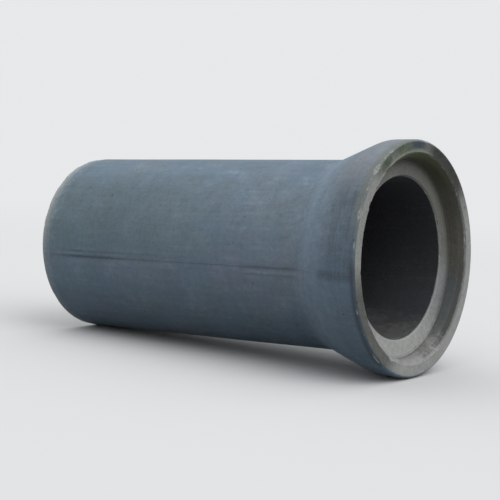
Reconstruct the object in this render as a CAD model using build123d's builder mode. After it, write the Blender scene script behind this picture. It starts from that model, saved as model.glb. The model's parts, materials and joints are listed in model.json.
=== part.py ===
"""Precast concrete sewer pipe with a bell at one end and a spigot at the other.

The pipe is one casting, turned about its own axis. It lies on the ground as it
does in a stock yard. The bell is wider than the barrel, so the pipe bears on the
back of the bell and on the start of the full barrel behind the spigot, and its
axis climbs a little towards the bell mouth, which looks along +X.

Units are millimetres. The origin is on the ground under the middle of the pipe,
with +Z up. Stations run along the axis, from the spigot tip to the bell mouth.
"""

import os
from math import asin, atan2, cos, hypot, sin

from build123d import *

# Bore and barrel
bore_diameter = 800
wall_thickness = 80
laying_length = 2000

# Spigot end, cast a little under the barrel so that it enters the next bell
spigot_length = 60
spigot_relief = 4

# Socket inside the bell: a straight seat, then a lead-in that opens to the mouth
joint_gap = 16
seat_length = 60
lead_in_length = 30
lead_in_flare = 20

# Outside of the bell: a straight collar, and a cone down to the barrel
mouth_wall = 68
collar_length = 133
flare_length = 260

# Rounded corners of the casting
flare_foot_radius = 140
flare_crest_radius = 140
rim_outer_radius = 14
seat_blend_radius = 20

# Bevelled corners, left by the end rings of the mould
rim_inner_bevel = 6
socket_corner_bevel = 8
bore_edge_bevel = 8
spigot_edge_bevel = 10

# Radii about the axis
bore_radius = bore_diameter / 2
barrel_radius = bore_radius + wall_thickness
spigot_radius = barrel_radius - spigot_relief
seat_radius = spigot_radius + joint_gap
mouth_radius = seat_radius + lead_in_flare
bell_radius = mouth_radius + mouth_wall

# Stations along the axis
barrel_start = spigot_length + spigot_relief
shoulder_station = laying_length
lead_in_station = shoulder_station + seat_length
mouth_station = lead_in_station + lead_in_length
collar_station = mouth_station - collar_length
flare_station = collar_station - flare_length

# Tangent point of the crest blend with the straight collar
flare_angle = atan2(bell_radius - barrel_radius, flare_length)
crest_trim = flare_crest_radius * sin(flare_angle / 2) / cos(flare_angle / 2)
crest_station = collar_station + crest_trim
crest_centre_radius = bell_radius - flare_crest_radius


def ground_angle(station, radius):
    """Angle between the axis and a line that touches the crest blend and this point."""
    along = crest_station - station
    outward = crest_centre_radius - radius
    return atan2(outward, along) + asin(flare_crest_radius / hypot(along, outward))


# The ground touches the crest of the flare, and the barrel's or the spigot's first edge
rest_angle, rest_station, rest_radius = min(
    (ground_angle(station, radius), station, radius)
    for station, radius in (
        (barrel_start, barrel_radius),
        (spigot_edge_bevel, spigot_radius),
    )
)
tip_height = rest_radius * cos(rest_angle) - rest_station * sin(rest_angle)

# Reach of the two ends along the ground, which puts the origin under the middle
tip_edge_radius = spigot_radius - spigot_edge_bevel
spigot_reach = -tip_edge_radius * sin(rest_angle)
rim_corner_station = mouth_station - rim_outer_radius
rim_corner_radius = bell_radius - rim_outer_radius
mouth_reach = rim_outer_radius + rim_corner_station * cos(rest_angle) + rim_corner_radius * sin(rest_angle)

axis_direction = Vector(cos(rest_angle), 0, sin(rest_angle))
tip_centre = Vector(-(spigot_reach + mouth_reach) / 2, 0, tip_height)
section_plane = Plane(origin=tip_centre, x_dir=axis_direction, z_dir=(0, -1, 0))

# Half section through the wall: station, radius, and the rounding of that corner
section_corners = (
    (0, bore_radius + bore_edge_bevel, 0),
    (0, tip_edge_radius, 0),
    (spigot_edge_bevel, spigot_radius, 0),
    (spigot_length, spigot_radius, 0),
    (barrel_start, barrel_radius, 0),
    (flare_station, barrel_radius, flare_foot_radius),
    (collar_station, bell_radius, flare_crest_radius),
    (mouth_station, bell_radius, rim_outer_radius),
    (mouth_station, mouth_radius + rim_inner_bevel, 0),
    (mouth_station - rim_inner_bevel, mouth_radius, 0),
    (lead_in_station, seat_radius, seat_blend_radius),
    (shoulder_station + socket_corner_bevel, seat_radius, 0),
    (shoulder_station, seat_radius - socket_corner_bevel, 0),
    (shoulder_station, bore_radius + bore_edge_bevel, 0),
    (shoulder_station - bore_edge_bevel, bore_radius, 0),
    (bore_edge_bevel, bore_radius, 0),
)
outline = [(station, radius) for station, radius, rounding in section_corners]
roundings = [rounding for station, radius, rounding in section_corners]

with BuildPart() as pipe:
    with BuildSketch(section_plane):
        with BuildLine():
            FilletPolyline(*outline, radius=roundings, close=True)
        make_face()
    revolve(axis=Axis(tip_centre, axis_direction))

pipe.part.label = "pipe"
os.makedirs("parts", exist_ok=True)
export_step(pipe.part, "parts/pipe.step")
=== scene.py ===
"""Looks of a precast concrete sewer pipe: cast skin, mould seams, chipped arrises and weather.

The pipe is modelled about its own axis, X. A station is a distance along the axis from the
spigot tip. An angle runs round the axis from the side that looks along -Y up to the top.
Lengths are in metres.
"""

import json
import random
from collections import namedtuple
from math import ceil, cos, pi, radians, sin, sqrt, tan

import bpy
import numpy as np
from mathutils import Matrix, Vector, noise


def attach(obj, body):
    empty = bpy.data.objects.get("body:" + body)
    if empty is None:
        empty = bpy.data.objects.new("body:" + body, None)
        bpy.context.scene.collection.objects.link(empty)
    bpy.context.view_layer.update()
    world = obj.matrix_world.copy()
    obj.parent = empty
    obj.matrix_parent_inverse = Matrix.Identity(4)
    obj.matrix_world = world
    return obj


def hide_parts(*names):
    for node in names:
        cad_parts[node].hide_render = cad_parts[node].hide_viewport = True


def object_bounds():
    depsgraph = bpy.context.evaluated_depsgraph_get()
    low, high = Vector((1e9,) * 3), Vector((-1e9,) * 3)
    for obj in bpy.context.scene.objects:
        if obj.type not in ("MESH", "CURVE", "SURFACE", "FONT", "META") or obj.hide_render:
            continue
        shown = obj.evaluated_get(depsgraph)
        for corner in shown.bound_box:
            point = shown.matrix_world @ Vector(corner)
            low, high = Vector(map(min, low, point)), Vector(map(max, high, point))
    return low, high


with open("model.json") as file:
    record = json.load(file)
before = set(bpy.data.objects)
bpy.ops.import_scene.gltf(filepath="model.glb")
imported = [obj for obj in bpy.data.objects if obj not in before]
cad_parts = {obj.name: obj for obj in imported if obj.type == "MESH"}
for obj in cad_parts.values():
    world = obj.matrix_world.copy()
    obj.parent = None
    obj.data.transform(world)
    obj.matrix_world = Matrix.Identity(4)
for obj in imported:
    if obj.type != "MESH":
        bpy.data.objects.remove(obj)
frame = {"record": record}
cad_low, cad_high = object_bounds()
mounts = {mount["name"]: mount for mount in frame["record"]["mounts"]}


def centre_of(face):
    """Centre of an end face, from a mount that lies beside the axis on it."""
    x, y, z = mounts[face]["pos_m"]
    return Vector((x, 0, z))


# Axis and end faces
axis = Vector(mounts["bore"]["axis"]).normalized()
tip_centre = centre_of("spigot_face")
mouth_centre = centre_of("mouth_rim")
sideways = Vector((0, 1, 0))
upward = axis.cross(sideways)
pipe_frame = Matrix.Translation(tip_centre) @ Matrix((axis, sideways, upward)).transposed().to_4x4()

# Steps of the section, from the mouth inwards and then of the spigot
lead_in_opening = 0.020
lead_in_length = 0.030
seat_length = 0.060
collar_length = 0.133
flare_length = 0.260
spigot_length = 0.060
spigot_relief = 0.004

# Radii about the axis
bore_radius = mounts["bore"]["dims"]["r_mm"] / 1000
seat_radius = mounts["socket"]["dims"]["r_mm"] / 1000
spigot_radius = mounts["spigot"]["dims"]["r_mm"] / 1000
barrel_radius = spigot_radius + spigot_relief
mouth_radius = seat_radius + lead_in_opening
bell_radius = (cad_high.y - cad_low.y) / 2

# Stations along the axis
spigot_station = spigot_length
barrel_station = spigot_station + spigot_relief
mouth_station = (mouth_centre - tip_centre).length
lead_in_station = mouth_station - lead_in_length
shoulder_station = lead_in_station - seat_length
collar_station = mouth_station - collar_length
flare_station = collar_station - flare_length

# Bevels left by the end rings of the mould
tip_bevel = 0.010
bore_bevel = 0.008
rim_bevel = 0.006

# Roundings of the flare's foot and crest, the rim's outer edge, and the lead-in's inner end
flare_rounding = 0.140
rim_rounding = 0.014
lead_in_rounding = 0.020

# Corners of the section, with their roundings and the longest mesh step that follows
Corner = namedtuple("Corner", "station radius rounding step")
plain_step = 0.055
curved_step = 0.018
section = (
    Corner(0, bore_radius + bore_bevel, 0, curved_step),
    Corner(0, spigot_radius - tip_bevel, 0, curved_step),
    Corner(tip_bevel, spigot_radius, 0, curved_step),
    Corner(spigot_station, spigot_radius, 0, curved_step),
    Corner(barrel_station, barrel_radius, 0, plain_step),
    Corner(flare_station, barrel_radius, flare_rounding, curved_step),
    Corner(collar_station, bell_radius, flare_rounding, curved_step),
    Corner(mouth_station, bell_radius, rim_rounding, curved_step),
    Corner(mouth_station, mouth_radius + rim_bevel, 0, curved_step),
    Corner(mouth_station - rim_bevel, mouth_radius, 0, curved_step),
    Corner(lead_in_station, seat_radius, lead_in_rounding, curved_step),
    Corner(shoulder_station + bore_bevel, seat_radius, 0, curved_step),
    Corner(shoulder_station, seat_radius - bore_bevel, 0, curved_step),
    Corner(shoulder_station, bore_radius + bore_bevel, 0, curved_step),
    Corner(shoulder_station - bore_bevel, bore_radius, 0, plain_step),
    Corner(bore_bevel, bore_radius, 0, curved_step),
)

# Mesh steps at an arris, how they grow away from it, and the samples that a straight run takes
finest_step = 0.0045
step_growth = 0.14
step_samples = 300

# The widest turn of one chord of a rounding, and the turn from which an edge stays sharp
chord_turn = radians(12)
sharp_turn = radians(32)

# Mesh columns round the axis on the plainest rings. Finer rings double them once or twice
columns = 192
fine_rings = (0.022, 0.009)

# The two mould seams, opposite each other
seam_angle = radians(-5.3)
seam_offsets = (0.0022, 0.0050)
seam_height = 0.0016
seam_step = 0.0007
seam_step_width = 0.05
seam_lump = 0.16
seam_fade = (0.6, 2.0)

# An arris that breaks: its place on the section, the way into the concrete, and its wear
Arris = namedtuple("Arris", "station radius inward chips longest deepest crumble")
slant = sqrt(0.5)
tip_inset = tip_bevel / 2
bore_inset = bore_bevel / 2
rim_inset = 0.004
lip_inset = rim_bevel / 2
shoulder_edge = shoulder_station - bore_inset
arrises = (
    Arris(tip_inset, spigot_radius - tip_inset, (slant, -slant), 26, 0.040, 0.008, 0.0022),
    Arris(bore_inset, bore_radius + bore_inset, (slant, slant), 14, 0.030, 0.006, 0.0014),
    Arris(mouth_station - rim_inset, bell_radius - rim_inset, (-slant, -slant), 20, 0.034, 0.007, 0.0014),
    Arris(mouth_station - lip_inset, mouth_radius + lip_inset, (-slant, slant), 16, 0.028, 0.006, 0.0014),
    Arris(shoulder_edge, bore_radius + bore_inset, (-slant, slant), 8, 0.026, 0.005, 0.0012),
)
tip_arris, _, rim_arris, lip_arris, _ = arrises

# Chips that show on some arrises: angle in degrees, half length, bite
shown_chips = {
    tip_arris: (
        (19, 0.020, 0.005), (27, 0.012, 0.003), (36, 0.026, 0.006), (44, 0.011, 0.004),
        (52, 0.022, 0.005), (60, 0.013, 0.004), (67, 0.028, 0.007), (76, 0.015, 0.005),
    ),
    rim_arris: (
        (9, 0.022, 0.005), (24, 0.040, 0.008), (37, 0.018, 0.005), (49, 0.052, 0.010),
        (64, 0.026, 0.007), (97, 0.034, 0.007), (-22, 0.020, 0.005), (-51, 0.044, 0.008),
    ),
    lip_arris: (
        (16, 0.016, 0.005), (31, 0.030, 0.008), (42, 0.016, 0.006), (56, 0.036, 0.010),
        (-33, 0.024, 0.006), (-64, 0.040, 0.009), (-118, 0.034, 0.007), (171, 0.022, 0.006),
    ),
}
chip_slope = 0.75
chip_reach = 0.050
chip_lump = 0.012
chip_drift = 0.045
chip_shows = (0.0008, 0.0024)

# Flakes off the spigot's outer skin: angle in degrees, half length, reach from the tip, depth
shown_flakes = (
    (13, 0.022, 0.016, 0.0016), (24, 0.040, 0.030, 0.0024), (35, 0.018, 0.018, 0.0018),
    (47, 0.046, 0.040, 0.0030), (59, 0.024, 0.022, 0.0020), (71, 0.050, 0.042, 0.0032),
    (88, 0.024, 0.018, 0.0020), (-14, 0.030, 0.014, 0.0016), (-38, 0.040, 0.022, 0.0020),
    (118, 0.050, 0.030, 0.0026), (163, 0.034, 0.022, 0.0022), (-128, 0.038, 0.026, 0.0026),
)
flake_reach = 0.08
flake_depth = 0.03
flake_shows = (0.0004, 0.0016)

# Unevenness of the skin, and roughness of the end faces: lump and depth
skin_wave = (0.35, 0.0006)
face_rough = (0.030, 0.0005)

# Borders of the end faces in the mesh, as distances in from the tip, the mouth and the rim's edge
tip_face_border = (0.007, 0.002)
rim_face_border = (0.003, 0.001)
rim_edge_border = (0.008, 0.013)


def section_outline():
    """Points of the section, its roundings as short chords, and the longest step after each."""
    points, steps = [], []
    corners = [Vector((corner.station, corner.radius)) for corner in section]
    for index, (corner, here) in enumerate(zip(section, corners)):
        if not corner.rounding:
            points.append(here)
            steps.append(corner.step)
            continue
        way_in = (here - corners[index - 1]).normalized()
        way_out = (corners[(index + 1) % len(corners)] - here).normalized()
        turn = way_in.angle(way_out)
        trim = corner.rounding * tan(turn / 2)
        inward = (way_out - way_in).normalized()
        centre = here + inward * corner.rounding / cos(turn / 2)
        pieces = max(ceil(turn / chord_turn), ceil(turn * corner.rounding / curved_step))
        start = here - way_in * trim - centre
        end = here + way_out * trim - centre
        for piece in range(pieces + 1):
            share = piece / pieces
            spoke = (start * sin((1 - share) * turn) + end * sin(share * turn)) / sin(turn)
            points.append(centre + spoke)
            steps.append(curved_step)
        steps[-1] = corner.step
    return points, steps


def graded_cuts(length, step_at):
    """Places to cut a straight run, spaced by the step wanted at each place."""
    samples = np.linspace(0, length, step_samples)
    wanted = np.array([1 / step_at(sample) for sample in samples])
    count = np.concatenate(([0], np.cumsum((wanted[1:] + wanted[:-1]) / 2 * np.diff(samples))))
    pieces = max(1, round(count[-1]))
    return np.interp(np.arange(pieces) * count[-1] / pieces, count, samples)


class Section:
    """Rings of the mesh along the closed section: station, radius, outward normal and place."""

    def __init__(self):
        points, steps = section_outline()
        ends = points[1:] + points[:1]
        lengths = [(end - start).length for start, end in zip(points, ends)]
        starts = np.concatenate(([0], np.cumsum(lengths)))
        self.length = starts[-1]
        self.arris_places = []
        for arris in arrises:
            spot = Vector((arris.station, arris.radius))
            middles = [(start + end) / 2 for start, end in zip(points, ends)]
            nearest = min(range(len(points)), key=lambda index: (middles[index] - spot).length)
            self.arris_places.append(starts[nearest] + lengths[nearest] / 2)
        spots, places = [], []
        for start, end, begun, length, longest in zip(points, ends, starts, lengths, steps):
            def step_at(cut):
                return min(longest, finest_step + step_growth * self.distance_to_arris(begun + cut))
            for cut in graded_cuts(length, step_at):
                spots.append(start + (end - start) * (cut / length))
                places.append(begun + cut)
        self.spots = np.array(spots)
        self.places = np.array(places)
        chords = np.roll(self.spots, -1, 0) - np.roll(self.spots, 1, 0)
        chords /= np.linalg.norm(chords, axis=1)[:, None]
        self.normals = np.stack([-chords[:, 1], chords[:, 0]], 1)
        gaps = np.linalg.norm(np.roll(self.spots, -1, 0) - self.spots, axis=1)
        widest = np.maximum(gaps, np.roll(gaps, 1))
        self.levels = sum((widest < limit).astype(int) for limit in fine_rings)
        for _ in range(2):
            beside = np.maximum(np.roll(self.levels, 1), np.roll(self.levels, -1))
            self.levels = np.maximum(self.levels, beside - 1)

    def gap(self, place, other):
        """Distance between two places along the closed section."""
        apart = np.abs(place - other)
        return np.minimum(apart, self.length - apart)

    def distance_to_arris(self, place):
        """Distance along the section from a place to the nearest arris."""
        return min(self.gap(place, other) for other in self.arris_places)


def column_angles(level):
    """Angles of a ring's vertices: even columns and a few beside each seam, halved per level."""
    even = [seam_angle + 2 * pi * column / columns for column in range(columns)]
    beside = [
        seam + side * offset / barrel_radius
        for seam in (seam_angle, seam_angle + pi)
        for offset in seam_offsets
        for side in (-1, 1)
    ]
    angles = np.sort(np.mod(even + beside, 2 * pi))
    for _ in range(level):
        halves = np.diff(angles, append=angles[0] + 2 * pi) / 2
        angles = np.stack([angles, angles + halves], 1).ravel()
    return angles


def band_faces(first, second):
    """Faces between two rings of vertex numbers, one of which may have twice as many."""
    faces = []
    if len(first) == len(second):
        for a, b, c, d in zip(first, second, np.roll(second, -1), np.roll(first, -1)):
            faces.append((int(a), int(b), int(c), int(d)))
        return faces
    flip = len(first) < len(second)
    fine, coarse = (second, first) if flip else (first, second)
    for index in range(len(coarse)):
        left, middle, right = (int(fine[(2 * index + k) % len(fine)]) for k in range(3))
        near, far = int(coarse[index]), int(coarse[(index + 1) % len(coarse)])
        for face in ((left, near, middle), (middle, near, far), (middle, far, right)):
            faces.append(face[::-1] if flip else face)
    return faces


def lumps(points, size, octaves=3, shift=0.0):
    """Noise about 0 at each point, with lumps of about the given size."""
    away = Vector((shift, -shift, shift))
    return np.array([noise.fractal(Vector(point) / size + away, 1.0, 2.0, octaves) for point in points])


def chips_on(arris, dice):
    """Chips of one arris: angle, half length and bite."""
    found = []
    for _ in range(arris.chips):
        size = dice.random() ** 2
        found.append((
            dice.uniform(0, 2 * pi),
            arris.longest * (0.2 + 0.8 * size),
            arris.deepest * (0.25 + 0.75 * size * dice.uniform(0.6, 1)),
        ))
    shown = shown_chips.get(arris, ())
    return found + [(radians(angle), half, bite) for angle, half, bite in shown]


def turned(angle, centre):
    """Signed angle from the centre, from -pi to pi."""
    return np.mod(angle - centre + pi, 2 * pi) - pi


def smooth(low, high, value):
    """0 below low, 1 above high, and a smooth step between."""
    share = np.clip((value - low) / (high - low), 0, 1)
    return share * share * (3 - 2 * share)


def around(station, radius, angle):
    """Points of the pipe's own frame at the given stations, radii and angles."""
    return np.stack([station, -radius * np.cos(angle), radius * np.sin(angle)], 1)


class Skin:
    """The pipe's vertices: where each lies, how far wear moves it, and where the concrete broke."""

    def __init__(self):
        self.rings = Section()
        angles, owners, bands = [], [], []
        count = 0
        for ring, level in enumerate(self.rings.levels):
            column = column_angles(level)
            bands.append(np.arange(count, count + len(column)))
            count += len(column)
            angles.append(column)
            owners.append(np.full(len(column), ring))
        self.faces = []
        for first, second in zip(bands, bands[1:] + bands[:1]):
            self.faces += band_faces(first, second)
        owner = np.concatenate(owners)
        self.angle = np.concatenate(angles)
        self.station, self.radius = self.rings.spots[owner].T
        self.normal = self.rings.normals[owner]
        self.place = self.rings.places[owner]
        self.points = around(self.station, self.radius, self.angle)
        self.ragged = lumps(self.points, chip_lump, 3, 9.0)
        self.coarse = lumps(self.points, chip_drift, 2, 13.0)
        self.station_moved = np.zeros(count)
        self.radius_moved = np.zeros(count)
        self.broken = np.zeros(count)

    def zones(self):
        """How far each vertex lies on an end face, in the bore and in the socket, from 0 to 1."""
        station, radius = self.station, self.radius
        bore = (radius < bore_radius + 0.001).astype(float)
        tip_face = smooth(*tip_face_border, station) * (1 - bore)
        rim_face = smooth(*rim_face_border, mouth_station - station)
        rim_face *= smooth(*rim_edge_border, bell_radius - radius)
        past_shoulder = station > shoulder_station - 0.7 * bore_bevel
        inside_rim = radius < mouth_radius + 0.5 * rim_bevel
        socket = past_shoulder * inside_rim * (1 - bore)
        return np.maximum(tip_face, rim_face), bore, socket

    def sink(self, depth):
        """Moves the skin into the concrete, along its normal."""
        self.station_moved -= self.normal[:, 0] * depth
        self.radius_moved -= self.normal[:, 1] * depth

    def roughen(self, end_face):
        """Makes the skin slightly uneven, and the end faces rougher."""
        (wave_lump, wave_depth), (rough_lump, rough_depth) = skin_wave, face_rough
        self.sink(wave_depth * (1 + lumps(self.points, wave_lump, 2)))
        self.sink(rough_depth * (1 + lumps(self.points, rough_lump, 3, 5.0)) * end_face)

    def raise_seams(self):
        """Seams of the two half moulds, raised, with the lower half a little behind."""
        outside = smooth(barrel_radius - 0.02, barrel_radius - 0.01, self.radius)
        outside *= self.normal[:, 1] > 0.3
        nothing = np.zeros(len(self.station))
        seam = nothing
        for centre, shift in ((seam_angle, 0.0), (seam_angle + pi, 3.0)):
            across = turned(self.angle, centre) * self.radius
            line = np.clip(1 - np.abs(across) / seam_offsets[0], 0, 1)
            along = np.stack([self.station, nothing + shift, nothing], 1)
            patchy = 0.55 + 0.75 * lumps(along, seam_lump, 3)
            fade = 1 - 0.7 * smooth(*seam_fade, self.station)
            seam = np.maximum(seam, line * np.clip(patchy * fade, 0.1, 1) * outside)
            behind = np.exp(-np.abs(across) / seam_step_width) * (across < -0.0001)
            self.sink(seam_step * behind * outside)
        self.sink(-seam_height * seam)

    def break_arrises(self):
        """Chips and crumbling along the arrises."""
        dice = random.Random(7)
        for arris, arris_place in zip(arrises, self.rings.arris_places):
            away = self.rings.gap(self.place, arris_place)
            near = np.flatnonzero(away < chip_reach)
            ragged, coarse = self.ragged[near], self.coarse[near]
            fall = chip_slope * away[near] * (1 + 0.25 * ragged)
            bite = arris.crumble * (1 + ragged + 0.8 * coarse) - fall
            for centre, half, deep in chips_on(arris, dice):
                along = turned(self.angle[near], centre) * arris.radius + 0.2 * half * coarse
                bowl = deep * (1 - (along / half) ** 2) * (1 + 0.3 * ragged)
                bite = np.maximum(bite, bowl - fall)
            bite = np.maximum(bite, 0)
            self.station_moved[near] += arris.inward[0] * bite
            self.radius_moved[near] += arris.inward[1] * bite
            self.broken[near] = np.maximum(self.broken[near], smooth(*chip_shows, bite))

    def flake_spigot(self):
        """Flakes off the spigot's skin, which run out along the end face."""
        near = np.flatnonzero((self.station < flake_reach) & (self.radius > spigot_radius - flake_depth))
        ragged, coarse = self.ragged[near], self.coarse[near]
        below = np.maximum(spigot_radius - tip_bevel - self.radius[near], 0)
        for centre, half, reach, deep in shown_flakes:
            along = turned(self.angle[near], radians(centre)) * spigot_radius / half + 0.25 * coarse
            fill = 1 - along ** 2 - (self.station[near] / reach) ** 2 + 0.5 * ragged
            bite = np.maximum(deep * smooth(0, 0.55, fill) - chip_slope * below, 0)
            self.radius_moved[near] = np.minimum(self.radius_moved[near], -bite)
            self.broken[near] = np.maximum(self.broken[near], smooth(*flake_shows, bite))

    def worn_points(self):
        """The points, moved by wear."""
        return around(self.station + self.station_moved, self.radius + self.radius_moved, self.angle)


def build_pipe():
    """The pipe as one closed mesh, with its zones and its wear as vertex attributes."""
    skin = Skin()
    end_face, bore, socket = skin.zones()
    edge = np.min([skin.rings.gap(skin.place, other) for other in skin.rings.arris_places], axis=0)
    skin.roughen(end_face)
    skin.raise_seams()
    skin.break_arrises()
    skin.flake_spigot()

    mesh = bpy.data.meshes.new("sewer_pipe")
    mesh.from_pydata(skin.worn_points().tolist(), [], skin.faces)
    mesh.transform(pipe_frame)
    for name, values in (
        ("end_face", end_face), ("bore", bore), ("socket", socket),
        ("broken", skin.broken), ("edge", edge),
    ):
        attribute = mesh.attributes.new(name, "FLOAT", "POINT")
        attribute.data.foreach_set("value", values.astype(np.float32))
    mesh.polygons.foreach_set("use_smooth", np.ones(len(mesh.polygons), bool))
    mesh.set_sharp_from_angle(angle=sharp_turn)
    pipe = bpy.data.objects.new("sewer_pipe", mesh)
    bpy.context.scene.collection.objects.link(pipe)
    return pipe


class Tone:
    """A value in a finish. An expression on tones adds its Math nodes."""

    def __init__(self, finish, socket):
        self.finish = finish
        self.socket = socket

    def maths(self, operation, *values):
        """The result of one Math node."""
        return self.finish.add("Math", {"operation": operation}, values)

    def __add__(self, other):
        return self.maths("ADD", self, other)

    __radd__ = __add__

    def __sub__(self, other):
        return self.maths("SUBTRACT", self, other)

    def __rsub__(self, other):
        return self.maths("SUBTRACT", other, self)

    def __mul__(self, other):
        return self.maths("MULTIPLY", self, other)

    __rmul__ = __mul__

    def __truediv__(self, other):
        return self.maths("DIVIDE", self, other)

    def __pow__(self, other):
        return self.maths("POWER", self, other)

    def __abs__(self):
        return self.maths("ABSOLUTE", self)

    def most(self, other):
        return self.maths("MAXIMUM", self, other)

    def step(self, low, high):
        """0 at low, 1 at high and a smooth step between. Low may be the larger."""
        settings = {"interpolation_type": "SMOOTHSTEP"}
        ends = {"From Min": low, "From Max": high}
        if low > high:
            ends = {"From Min": high, "From Max": low, "To Min": 1.0, "To Max": 0.0}
        return self.finish.add("MapRange", settings, {"Value": self, **ends})


class Finish:
    """The nodes of one material, or of the world."""

    def __init__(self, owner):
        owner.use_nodes = True
        self.owner = owner
        self.tree = owner.node_tree
        self.tree.nodes.clear()

    def add(self, kind, settings=None, values=(), output=0):
        """Adds a node: its settings first, then the values or links of its sockets."""
        node = self.tree.nodes.new("ShaderNode" + kind)
        for name, setting in (settings or {}).items():
            setattr(node, name, setting)
        sockets = {socket.identifier: socket for socket in node.inputs}
        for name, value in values.items() if isinstance(values, dict) else enumerate(values):
            socket = sockets[name] if name in sockets else node.inputs[name]
            if isinstance(value, Tone):
                self.tree.links.new(value.socket, socket)
            else:
                socket.default_value = (*value, 1) if socket.type == "RGBA" else value
        return Tone(self, node.outputs[output]) if node.outputs else None

    def split(self, vector):
        """The three parts of a vector."""
        parts = self.add("SeparateXYZ", None, [vector])
        return [Tone(self, socket) for socket in parts.socket.node.outputs]

    def along_pipe(self, place):
        """A place turned into the pipe's own frame, with the station first."""
        away = self.add("VectorMath", {"operation": "SUBTRACT"}, [place, tip_centre])
        along = {"operation": "DOT_PRODUCT"}
        parts = [self.add("VectorMath", along, [away, way], 1) for way in (axis, sideways, upward)]
        return self.add("CombineXYZ", None, parts)

    def mix(self, share, first, second):
        """A colour between two, by a share from 0 to 1."""
        colours = {"Factor_Float": share, "A_Color": first, "B_Color": second}
        return self.add("Mix", {"data_type": "RGBA"}, colours, 2)

    def shade(self, colour, factor):
        """A colour made lighter or darker by a factor."""
        values = {"Vector": colour, "Scale": factor}
        return self.add("VectorMath", {"operation": "SCALE"}, values)

    def spread(self, place, size, stretch=(1, 1, 1), shift=0):
        """Places measured in lumps of the given size, longer by stretch, and shifted."""
        per_metre = tuple(1 / (size * times) for times in stretch)
        return self.add("VectorMath", {"operation": "MULTIPLY_ADD"}, [place, per_metre, (shift,) * 3])

    def cloud(self, place, size, detail=3, stretch=(1, 1, 1), shift=0):
        """Noise about 0, mostly within -1 to 1, with lumps of the given size."""
        vector = self.spread(place, size, stretch, shift)
        texture = {"Vector": vector, "Scale": 1, "Detail": detail, "Roughness": 0.58}
        return (self.add("TexNoise", None, texture) - 0.5) * 3.2

    def pits(self, place, size, widest, share, shift=0):
        """Round pits up to widest across, one in each lump of the given size, of which a share show."""
        vector = self.spread(place, size, shift=shift)
        cell = self.add("TexVoronoi", None, {"Vector": vector, "Scale": 1})
        chance, girth, _ = self.split(Tone(self, cell.socket.node.outputs["Color"]))
        reach = (0.35 + 0.65 * girth) * (widest / 2 / size) * chance.step(1 - share, 1.001 - share)
        return 1 - (cell / (reach + 0.001)).step(0.55, 1.0)

    def seen(self):
        """1 for what the camera sees, straight or by gloss or glass, and 0 for what lights the pipe."""
        rays = ("Is Camera Ray", "Is Glossy Ray", "Is Transmission Ray")
        straight, gloss, glass = (self.add("LightPath", output=ray) for ray in rays)
        return straight.most(gloss).most(glass)

    def attribute(self, name):
        """A value held by the mesh's vertices."""
        return self.add("Attribute", {"attribute_name": name}, output="Fac")


# Colours of the concrete, as linear red, green and blue. The skin's colours are kept darker than the
# concrete's own colour, so they hold painted shade
skin_blue = (0.156, 0.232, 0.314)
skin_grey = (0.190, 0.246, 0.296)
skin_teal = (0.144, 0.240, 0.284)
skin_violet = (0.210, 0.230, 0.314)
skin_pale = (0.292, 0.370, 0.442)
skin_dark = (0.080, 0.115, 0.150)
skin_darkened = (0.094, 0.152, 0.176)
flare_painted_light = (0.238, 0.332, 0.440)
collar_pale = (0.268, 0.282, 0.312)
collar_lichen = (0.186, 0.208, 0.188)
seam_dark = (0.040, 0.054, 0.080)
seam_pale = (0.240, 0.302, 0.370)
rim_pale = (0.388, 0.400, 0.388)
rim_stain = (0.180, 0.187, 0.176)
rim_grime_and_shade = (0.105, 0.110, 0.102)
rim_brown_and_shade = (0.016, 0.016, 0.011)
tip_pale = (0.530, 0.526, 0.488)
tip_worn = (0.390, 0.440, 0.446)
socket_brown = (0.165, 0.160, 0.134)
socket_grey = (0.205, 0.216, 0.208)
socket_blue = (0.176, 0.199, 0.216)
shoulder_grey = (0.288, 0.303, 0.300)
shoulder_brown = (0.152, 0.149, 0.127)
wall_dust = (0.345, 0.351, 0.342)
shoulder_dust = (0.450, 0.460, 0.450)
# Painted shade: the bore's colours are far darker than the concrete, as the inside of the pipe lies in
# shade
bore_dark = (0.044, 0.047, 0.054)
bore_grey = (0.088, 0.092, 0.098)
bore_dust = (0.165, 0.169, 0.156)
algae_green = (0.082, 0.111, 0.074)
algae_olive_and_shade = (0.080, 0.096, 0.044)
algae_dark_and_shade = (0.018, 0.024, 0.008)
algae_pale = (0.225, 0.270, 0.188)
lichen_pale = (0.430, 0.470, 0.400)
broken_pale = (0.430, 0.445, 0.436)
grit_grey = (0.150, 0.148, 0.138)

# Marks of the weather and of painted shade: the way they lie round the axis and the turns from it at
# which they have faded out and are at full strength, in degrees
Mark = namedtuple("Mark", "angle fade full")
barrel_darkened = Mark(24, 38, 8)
crown_painted_shade = Mark(92, 34, 12)
collar_shaded = Mark(24, 36, 20)
collar_bleached = Mark(76, 46, 20)
collar_overgrown = Mark(52, 46, 20)
collar_dark_line = Mark(-30, 36, 24)
tip_frayed = Mark(50, 62, 30)
rim_weathered_and_shaded = Mark(112, 52, 20)
rim_browned_and_shaded = Mark(123, 28, 10)
rim_blackened = Mark(89, 12, 3)
rim_green = Mark(66, 25, 8)
rim_lipped = Mark(81, 28, 14)
rim_spotted = Mark(62, 38, 14)
rim_grimed_and_shaded = Mark(-37, 38, 19)
ceiling_olive_and_shade = Mark(94, 50, 22)
ceiling_dark = Mark(130, 34, 12)
wall_shaded = Mark(-142, 44, 22)
wall_blued = Mark(-144, 34, 16)
ledge_browned = Mark(136, 62, 30)
ledge_stained = Mark(72, 34, 14)

# Marks along the pipe: the stations at which they have faded out and are at full strength
darkened_reach = (1.60, 0.50)
worn_reach = (0.130, 0.030)
frayed_reach = (0.046, 0.012)
bevel_reach = (0.018, 0.008)
ringed_reach = (1.0, 1.5)
dark_line_reach = (mouth_station - 0.040, mouth_station - 0.014)

# How far the growth on the collar reaches back from the mouth
overgrown_reach = 0.055

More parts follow.
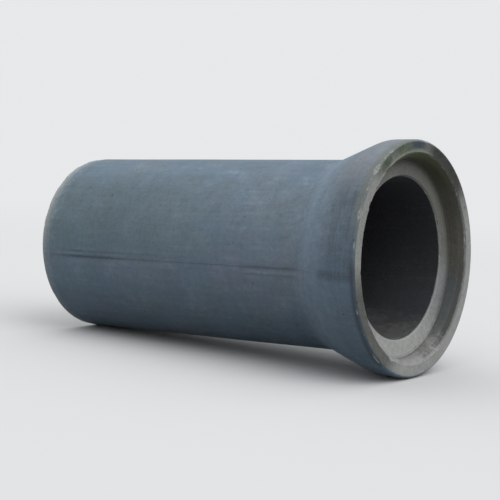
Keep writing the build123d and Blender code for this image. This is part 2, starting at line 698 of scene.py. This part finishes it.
# Zones of the rim's width, as distances out from the mouth's edge, faded out and at full strength
rim_inner = (0.020, 0.0)
rim_outer = (0.014, 0.032)
rim_broad = (0.006, 0.024)
rim_lip = (0.022, 0.012)

# Radii at which the pale rub on the arrises has faded out and is at full strength
rubbed_radii = (mouth_radius + 0.036, mouth_radius + 0.028)

# Stretches of the mould seam and of the painted shade deep in the bore, from one station to another
seam_drawn = (0.02, flare_station + 0.10)
seam_bright = (0.10, 0.34)
seam_bold = (0.10, 0.66)
seam_echoed = (0.42, 1.12)
seam_late = (1.33, 1.74)
bore_painted_shade = (0.30, 1.86)
smudge_station = flare_station + 0.17

# Lines along the seam: how far above it each runs, and where it has faded and is at full strength
Line = namedtuple("Line", "middle fade full")
seam_line = Line(-0.003, 0.015, 0.002)
seam_gleam = Line(0.012, 0.012, 0.003)
seam_trowelled = Line(-0.026, 0.014, 0.003)
seam_upper = Line(0.025, 0.012, 0.002)
seam_lower = Line(-0.038, 0.009, 0.002)
seam_smudge = Line(-0.006, 0.034, 0.010)

# Holes that air left in the skin: spacing, widest hole and the share of places that hold one
pit_sizes = (0.038, 0.015, 0.30)
pinhole_sizes = (0.016, 0.0060, 0.24)
pit_depth = 0.0020
pinhole_depth = 0.0010

# Width of the grains of grit that show where the concrete broke
grit_size = 0.007


class PipePlace:
    """Where a point of the finish lies on the pipe, and the patterns that its parts share."""

    def __init__(self, finish):
        place = finish.along_pipe(finish.add("TexCoord", output="Object"))
        self.place = place
        self.station, self.across, self.height = finish.split(place)
        self.radius = (self.across * self.across + self.height * self.height) ** 0.5
        self.lift = self.height / self.radius
        self.side = self.across / self.radius
        self.mouth = self.station.step(flare_station, collar_station)
        self.drift = finish.cloud(place, 0.60, 3)
        self.hue = finish.cloud(place, 0.30, 3, shift=43)
        self.patch = finish.cloud(place, 0.16, 4, shift=7)
        self.cloudy = finish.cloud(place, 0.110, 5, shift=35)
        self.blotch = finish.cloud(place, 0.065, 3, shift=15)
        self.mottle = finish.cloud(place, 0.030, 4, shift=3)
        self.speckle = finish.cloud(place, 0.012, 3, shift=51)
        self.grain = finish.cloud(place, 0.0050, 2)
        self.streak = finish.cloud(place, 0.024, 3, (18, 1, 1), 11)
        self.scuff = finish.cloud(place, 0.008, 2, (40, 1, 1), 27)
        self.ring = finish.cloud(place, 0.085, 3, (1, 9, 9), 19)
        self.run = finish.cloud(place, 0.016, 3, (1, 12, 12), 23)

    def towards(self, mark):
        """1 at a mark on the pipe's girth and 0 away from it, with a wavering border."""
        along = self.lift * sin(radians(mark.angle)) - self.side * cos(radians(mark.angle))
        wavering = along + 0.018 * self.patch + 0.008 * self.mottle
        return wavering.step(cos(radians(mark.fade)), cos(radians(mark.full)))

    def between(self, first, last, fade):
        """1 between two stations, fading out within them."""
        return self.station.step(first, first + fade) * self.station.step(last, last - fade)

    def near_mouth(self, reach):
        """0 at a distance from the mouth and 1 from a third of it on, with a ragged border."""
        ragged = self.station + 0.013 * self.blotch + 0.007 * self.mottle
        return ragged.step(mouth_station - reach, mouth_station - reach / 3)

    def out_from_edge(self, low, high):
        """0 at one distance out from the mouth's edge and 1 at another, with a ragged border."""
        ragged = self.radius + 0.003 * self.mottle
        return ragged.step(mouth_radius + low, mouth_radius + high)


def stripe(value, middle, fade, full):
    """1 near a middle value, 0 beyond it by fade."""
    return abs(value - middle).step(fade, full)


def mould_colour(finish, at):
    """Skin as the steel mould left it, cloudy and streaked, darker towards the spigot on the -Y side,
    with painted shade along the top.
    """
    mix = finish.mix
    skin = mix((at.drift + 0.5 * at.patch).step(-0.6, 0.8), skin_blue, skin_grey)
    tint = at.hue + 0.4 * at.blotch
    skin = mix(tint.step(0.0, 1.2) * 0.70, skin, skin_teal)
    skin = mix(tint.step(0.0, -1.2) * 0.75, skin, skin_violet)
    paste = at.cloudy + 0.5 * at.streak + 0.4 * at.mottle
    skin = mix(paste.step(0.0, 1.7) * 0.54, skin, skin_pale)
    skin = mix((at.patch - 0.4 * at.streak).step(0.1, 1.5) * 0.48, skin, skin_dark)
    skin = mix((at.blotch + 0.6 * at.drift).step(0.2, 1.4) * 0.46, skin, skin_dark)
    skin = mix((at.mottle + 0.5 * at.speckle).step(0.5, 1.6) * 0.26, skin, skin_dark)
    skin = mix(at.scuff.step(1.0, 1.9) * 0.26, skin, skin_pale)
    # Darker towards the spigot on the -Y side
    darkening = (at.station + 0.14 * at.drift + 0.05 * at.patch).step(*darkened_reach)
    skin = mix(darkening * at.towards(barrel_darkened) * (0.53 + 0.08 * at.streak), skin, skin_darkened)
    # Painted shade: darker along the top of the barrel
    return mix(at.towards(crown_painted_shade) * (0.15 + 0.06 * at.streak), skin, skin_dark)


def bell_marks(finish, at, skin):
    """Foot of the flare painted paler as light, darker banded collar, and its bleached and overgrown top.
    """
    mix = finish.mix
    # Painted light: a paler band on the flare's foot, where it catches more light
    foot = at.between(flare_station - 0.04, collar_station, 0.10)
    skin = mix(foot * (0.46 + 0.24 * at.ring + 0.16 * at.run), skin, flare_painted_light)
    shaded = at.station.step(collar_station - 0.09, collar_station + 0.03) * at.towards(collar_shaded)
    skin = mix(shaded * (0.56 + 0.34 * at.run + 0.26 * at.blotch), skin, skin_dark)
    banded = at.station.step(collar_station - 0.13, collar_station)
    skin = mix(banded * at.run.step(0.1, 1.3) * 0.34, skin, skin_dark)
    skin = mix(banded * at.run.step(-0.1, -1.3) * 0.30, skin, skin_pale)
    bleached = at.station.step(flare_station + 0.10, collar_station + 0.02) * at.towards(collar_bleached)
    skin = mix(bleached * (0.66 + 0.30 * at.run + 0.20 * at.blotch), skin, collar_pale)
    overgrown = at.near_mouth(overgrown_reach) * at.towards(collar_overgrown)
    skin = mix(overgrown * (0.74 + 0.20 * at.mottle), skin, collar_lichen)
    skin = mix(overgrown * (at.mottle - 0.5 * at.speckle).step(0.2, 1.3) * 0.50, skin, algae_green)
    return mix(overgrown * (at.speckle - 0.6 * at.mottle).step(0.4, 1.3) * 0.50, skin, lichen_pale)


def spigot_marks(finish, at, skin):
    """Paler band of the spigot, worn towards the tip, frayed there, and its pale bevel."""
    mix = finish.mix
    band = at.station.step(spigot_station + 0.006, spigot_station - 0.004)
    skin = mix(band * (0.36 + 0.24 * at.blotch), skin, skin_pale)
    worn = (at.station + 0.012 * at.blotch).step(*worn_reach) * at.towards(tip_frayed)
    flecks = (at.blotch + at.mottle + 0.6 * at.speckle).step(-0.1, 1.1)
    skin = mix(worn * (0.20 + 0.66 * flecks), skin, tip_worn)
    frayed = (at.station + 0.014 * at.blotch + 0.010 * at.mottle).step(*frayed_reach)
    skin = mix(frayed * (0.40 + 0.50 * at.towards(tip_frayed)), skin, broken_pale)
    bevelled = (at.station + 0.003 * at.mottle).step(*bevel_reach)
    return mix(bevelled * (0.60 + 0.20 * at.blotch), skin, broken_pale)


def seam_marks(finish, at, skin):
    """Mould seams: dark lines. The shown one is bold near the spigot, with lines beside it."""
    mix = finish.mix
    above = at.across * sin(seam_angle) + at.height * cos(seam_angle) + 0.0016 * at.run
    shown = at.side.step(0.1, -0.1)
    bold = at.between(*seam_bold, 0.18)
    late = at.between(*seam_late, 0.12)
    gleam = shown * stripe(above, *seam_gleam) * at.between(*seam_bright, 0.10)
    trowelled = shown * stripe(above, *seam_trowelled) * (0.45 * bold + late)
    upper = shown * stripe(above, *seam_upper) * (bold + 0.5 * at.between(*seam_echoed, 0.20))
    lower = shown * stripe(above, *seam_lower) * late
    line = stripe(above, *seam_line) * at.between(*seam_drawn, 0.10)
    force = 0.16 + 0.48 * bold + 0.18 * late + 0.12 * at.ring + 0.06 * at.mottle
    smudge = shown * stripe(above + 0.006 * at.patch, *seam_smudge)
    smudge = smudge * at.station.step(smudge_station - 0.03, smudge_station + 0.03)
    skin = mix(gleam * 0.35, skin, seam_pale)
    skin = mix(trowelled * (0.42 + 0.24 * at.ring), skin, seam_pale)
    skin = mix(upper * (0.26 + 0.20 * at.ring), skin, seam_dark)
    skin = mix(lower * (0.20 + 0.14 * at.ring), skin, seam_dark)
    skin = mix(line * force, skin, seam_dark)
    return mix(smudge * (0.38 + 0.24 * at.mottle + 0.14 * at.run), skin, seam_dark)


def skin_colour(finish, at):
    """Outer skin with the marks of bell, spigot and seam, and a dark line on the collar behind the rim,
    low on the -Y side.
    """
    skin = mould_colour(finish, at)
    for marks in (bell_marks, spigot_marks, seam_marks):
        skin = marks(finish, at, skin)
    # A dark line on the collar just behind the rim, low on the -Y side
    dark_line = at.station.step(*dark_line_reach) * at.towards(collar_dark_line)
    skin = finish.mix(dark_line * 0.74, skin, seam_dark)
    ringed = 0.05 + 0.05 * at.station.step(*ringed_reach)
    broad = 0.08 * at.cloudy + 0.07 * at.streak + ringed * at.ring
    fine = 0.12 * at.mottle + 0.12 * at.speckle + 0.11 * at.grain
    return finish.shade(skin, 0.97 + broad + fine)


def face_colour(finish, at):
    """Pale end faces, and round the mouth stains, stains and painted shade high towards +Y, algae at the
    top, and dirt and painted shade low towards -Y.
    """
    mix = finish.mix
    mouth = at.mouth
    face = mix(mouth, tip_pale, rim_pale)
    face = mix((at.patch + 0.8 * at.mottle).step(-0.1, 1.6) * 0.55, face, rim_stain)
    face = mix(mouth * at.out_from_edge(*rim_inner) * (0.30 + 0.10 * at.blotch), face, rim_stain)
    # Darker towards the -Y side
    face = mix(mouth * at.side.step(-0.3, -0.9) * 0.22, face, rim_stain)
    # Stains and painted shade on the rim's upper part towards +Y, darkest at about 120 degrees
    face = mix(mouth * at.towards(rim_weathered_and_shaded) * (0.90 + 0.20 * at.blotch), face, rim_stain)
    face = mix(mouth * at.towards(rim_browned_and_shaded) * (0.88 + 0.14 * at.mottle), face, rim_brown_and_shade)
    black = mouth * at.towards(rim_blackened) * at.out_from_edge(*rim_outer)
    face = mix(black * 0.92, face, seam_dark)
    green = mouth * at.towards(rim_green) * at.out_from_edge(*rim_broad)
    face = mix(green * (0.84 + 0.36 * at.blotch + 0.30 * at.mottle), face, algae_green)
    lip = mouth * at.towards(rim_lipped) * at.out_from_edge(*rim_lip)
    face = mix(lip * 0.85, face, algae_pale)
    spotted = mouth * at.towards(rim_spotted) * (at.mottle + 0.6 * at.speckle).step(0.4, 1.3)
    face = mix(spotted * 0.34, face, lichen_pale)
    # Dirt and painted shade on the rim low towards -Y
    face = mix(mouth * at.towards(rim_grimed_and_shaded) * (0.88 + 0.22 * at.mottle), face, rim_grime_and_shade)
    return finish.shade(face, 1 + 0.16 * at.mottle + 0.14 * at.speckle + 0.12 * at.grain)


def socket_colour(finish, at):
    """Brown-grey socket wall, lighter shoulder, dust in the bottom, algae and painted shade on the
    ceiling, painted shade on the lead-in and along the crease, and dirt with painted shade in the corner.
    """
    mix, shade = finish.mix, finish.shade
    wall = mix((at.run + 0.5 * at.patch).step(-0.3, 1.2) * 0.5, socket_brown, socket_grey)
    lead_in = at.radius.step(seat_radius + 0.0002, seat_radius + 0.0040)
    blued = at.towards(wall_blued) * (1 - 0.4 * lead_in)
    wall = mix(blued * (0.66 + 0.20 * at.run), wall, socket_blue)
    # Painted shade: the lead-in darker
    wall = shade(wall, 1 - 0.44 * lead_in)
    wall = shade(wall, 1 - 0.27 * at.towards(wall_shaded))
    low = 0.12 * at.patch + 0.09 * at.mottle - at.lift
    wall = mix((low - 0.10 * lead_in * at.side).step(0.74, 1.04), wall, wall_dust)
    # Dirt and painted shade in the corner where the socket wall meets the shoulder
    corner = at.station.step(shoulder_station + 0.030, shoulder_station + 0.006) * (1 - blued)
    wall = mix(corner * (0.50 + 0.25 * at.mottle), wall, socket_brown)
    # Algae and painted shade on the socket's ceiling
    wall = mix(at.towards(ceiling_olive_and_shade) * (0.84 + 0.14 * at.mottle), wall, algae_olive_and_shade)
    # Algae and painted shade darken the lead-in high towards +Y
    wall = mix(at.towards(ceiling_dark) * lead_in * 0.34, wall, algae_dark_and_shade)
    wall = mix((at.blotch + at.mottle).step(0.8, 1.8) * 0.30, wall, socket_grey)

    ledge = mix(at.towards(ledge_browned) * 0.78, shoulder_grey, shoulder_brown)
    ledge = mix(at.towards(ledge_stained) * (0.50 + 0.20 * at.blotch), ledge, shoulder_brown)
    ledge = mix((at.patch + 0.7 * at.mottle).step(0.0, 1.5) * 0.25, ledge, shoulder_brown)
    ledge = mix(low.step(0.42, 0.98), ledge, shoulder_dust)
    # Painted shade and some dirt on the shoulder's outer part, towards the socket wall, except low down
    outward = at.radius.step(bore_radius + 0.040, seat_radius - 0.004)
    ledge = shade(ledge, 1 - 0.28 * outward * low.step(0.9, 0.5))
    shoulder = at.station.step(shoulder_station + 0.006, shoulder_station + 0.003)
    colour = mix(shoulder, wall, ledge)
    # Painted shade along the crease between the shoulder and the socket wall
    crease = stripe(at.station, shoulder_station + 0.004, 0.010, 0.003)
    crease = crease * at.radius.step(seat_radius - 0.014, seat_radius - 0.007)
    colour = shade(colour, 1 - 0.34 * crease)
    crumbs = (at.mottle + 0.8 * at.speckle).step(0.9, 1.7) * low.step(0.72, 0.95)
    colour = mix(crumbs * 0.50, colour, grit_grey)
    return shade(colour, 1 + 0.14 * at.mottle + 0.12 * at.speckle + 0.10 * at.grain)


def bore_colour(finish, at):
    """Bore painted dark as shade and darker deeper in, with dust along its bottom and a faint tide line
    inside the shoulder.
    """
    mix = finish.mix
    inner = mix((at.streak + at.patch).step(-0.2, 1.6) * 0.6, bore_dark, bore_grey)
    # Painted shade: darker deeper in the bore
    inner = finish.shade(inner, 1 - 0.46 * at.between(*bore_painted_shade, 0.44))
    low = 0.14 * at.patch + 0.08 * at.mottle - at.lift
    inner = mix(low.step(0.70, 1.04) * 0.66, inner, bore_dust)
    tide = stripe(at.station + 0.004 * at.blotch, shoulder_station - 0.034, 0.016, 0.002)
    inner = mix(tide * low.step(0.84, 1.02) * 0.20, inner, wall_dust)
    return finish.shade(inner, 1 + 0.14 * at.mottle + 0.12 * at.speckle + 0.08 * at.grain)


def concrete_material():
    """Cast concrete: blue-grey skin, pale end faces, dusty socket, bore painted dark as shade, worn
    arrises.
    """
    finish = Finish(bpy.data.materials.new("cast_concrete"))
    mix, shade = finish.mix, finish.shade
    at = PipePlace(finish)
    end_face, bore, socket, broken, edge = (
        finish.attribute(name) for name in ("end_face", "bore", "socket", "broken", "edge")
    )
    pits = finish.pits(at.place, *pit_sizes) * at.patch.step(-0.9, 0.5)
    pinholes = finish.pits(at.place, *pinhole_sizes, 31) * at.blotch.step(-0.5, 0.9)

    colour = mix(end_face, skin_colour(finish, at), face_colour(finish, at))
    colour = mix(socket, colour, socket_colour(finish, at))
    colour = mix(bore, colour, bore_colour(finish, at))

    # Arrises rub pale, and where they broke they show the paste and its grit
    rubbed = (edge + 0.0040 * at.blotch + 0.0030 * at.mottle).step(0.0120, 0.0050)
    # Where the rim holds stains and painted shade, the arrises rub less
    stained_and_shaded = at.mouth * (0.7 * at.towards(rim_weathered_and_shaded) + 0.8 * at.towards(rim_grimed_and_shaded))
    rubbed = rubbed * (0.36 + 0.24 * at.patch) * (1 - stained_and_shaded) * at.radius.step(*rubbed_radii)
    colour = mix(rubbed, colour, broken_pale)
    spots = finish.spread(at.place, grit_size)
    grit = finish.add("TexVoronoi", None, {"Vector": spots, "Scale": 1}, "Color")
    pick, _, _ = finish.split(grit)
    fresh = mix(pick.step(0.55, 0.95) * 0.55, broken_pale, grit_grey)
    fresh = shade(fresh, 1 + 0.15 * at.grain + 0.10 * at.mottle)
    colour = mix(broken * 0.70, colour, fresh)
    colour = shade(colour, 1 - 0.50 * pits - 0.36 * pinholes)

    rough_face = end_face.most(broken).most(socket * 0.7)
    roughness = 0.66 + 0.06 * at.patch + 0.05 * at.mottle + 0.24 * rough_face + 0.08 * bore
    relief = (
        (0.00016 + 0.00020 * rough_face) * at.grain
        + (0.00020 + 0.00034 * rough_face) * at.speckle
        + (0.00050 + 0.00074 * rough_face) * at.mottle
        + 0.00022 * at.streak
        - pit_depth * pits
        - pinhole_depth * pinholes
    )
    normal = finish.add("Bump", None, {"Strength": 1.0, "Distance": 1.0, "Height": relief})
    shader = finish.add("BsdfPrincipled", None, {
        "Base Color": colour, "Roughness": roughness, "Normal": normal,
    })
    finish.add("OutputMaterial", None, {"Surface": shader})
    return finish.owner


# Studio: the floor and the backdrop show pale, and the floor throws little light back up
floor_size = 160
floor_fade = (5.0, 14.0)
floor_bounce = (0.140, 0.140, 0.140)
backdrop = (0.800, 0.810, 0.820)
dome_level = 0.38
dome_rise = 0.60
key_level = 0.85
key_towards = Vector((0.74, -0.18, 0.70))
key_angle = radians(50)


def studio_floor():
    """A wide plain floor, which fades into the backdrop and keeps the object's shadow."""
    finish = Finish(bpy.data.materials.new("studio_floor"))
    seen = finish.seen()
    tone = finish.mix(seen, floor_bounce, backdrop)
    matt = finish.add("BsdfDiffuse", None, {"Color": tone})
    plain = finish.add("Emission", None, {"Color": backdrop, "Strength": 1.0})
    x, y, _ = finish.split(finish.add("NewGeometry", output="Position"))
    far = ((x * x + y * y) ** 0.5).step(*floor_fade) * seen
    shader = finish.add("MixShader", None, [far, matt, plain])
    finish.add("OutputMaterial", None, {"Surface": shader})
    half = floor_size / 2
    mesh = bpy.data.meshes.new("studio_floor")
    corners = [(-half, -half, 0), (half, -half, 0), (half, half, 0), (-half, half, 0)]
    mesh.from_pydata(corners, [], [(0, 1, 2, 3)])
    mesh.materials.append(finish.owner)
    floor = bpy.data.objects.new("studio_floor", mesh)
    bpy.context.scene.collection.objects.link(floor)


def studio_light():
    """A soft dome, brighter overhead, and a broad soft key from the mouth's side."""
    scene = bpy.context.scene
    scene.world = bpy.data.worlds.new("studio_dome")
    finish = Finish(scene.world)
    _, _, rise = finish.split(finish.add("TexCoord", output="Generated"))
    glow = dome_level + dome_rise * rise.most(0.0)
    tone = finish.mix(finish.seen(), finish.shade((1.0, 1.0, 1.0), glow), backdrop)
    sky = finish.add("Background", None, {"Color": tone, "Strength": 1.0})
    finish.add("OutputWorld", None, {"Surface": sky})
    key = bpy.data.lights.new("studio_key", "SUN")
    key.energy = key_level
    key.angle = key_angle
    lamp = bpy.data.objects.new("studio_key", key)
    lamp.rotation_mode = "QUATERNION"
    lamp.rotation_quaternion = key_towards.to_track_quat("Z", "Y")
    scene.collection.objects.link(lamp)


# Camera, in the pipe's own frame: from the mouth's centre, as the photograph was taken
camera_from_mouth = Vector((3.066, -5.512, 0.401))
camera_roll = radians(0.6)
aim_station = 1.08
lens = 93


def photograph_camera():
    """The camera, placed about the pipe as in the photograph, with a longer lens aimed at the pipe."""
    mouth = Vector((mouth_station, 0, 0))
    seat = mouth + camera_from_mouth
    ahead = (Vector((aim_station, 0, 0)) - seat).normalized()
    right = ahead.cross(Vector((0, 0, 1))).normalized()
    up = right.cross(ahead)
    level = Matrix((right, up, -ahead)).transposed()
    turn = level @ Matrix.Rotation(camera_roll, 3, "Z")
    data = bpy.data.cameras.new("camera")
    data.lens = lens
    camera = bpy.data.objects.new("camera", data)
    camera.matrix_world = pipe_frame @ Matrix.Translation(seat) @ turn.to_4x4()
    bpy.context.scene.collection.objects.link(camera)
    bpy.context.scene.camera = camera


pipe = build_pipe()
pipe.data.materials.append(concrete_material())
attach(pipe, "root")
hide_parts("pipe")
studio_floor()
studio_light()
photograph_camera()
bpy.context.scene.view_settings.view_transform = "Standard"
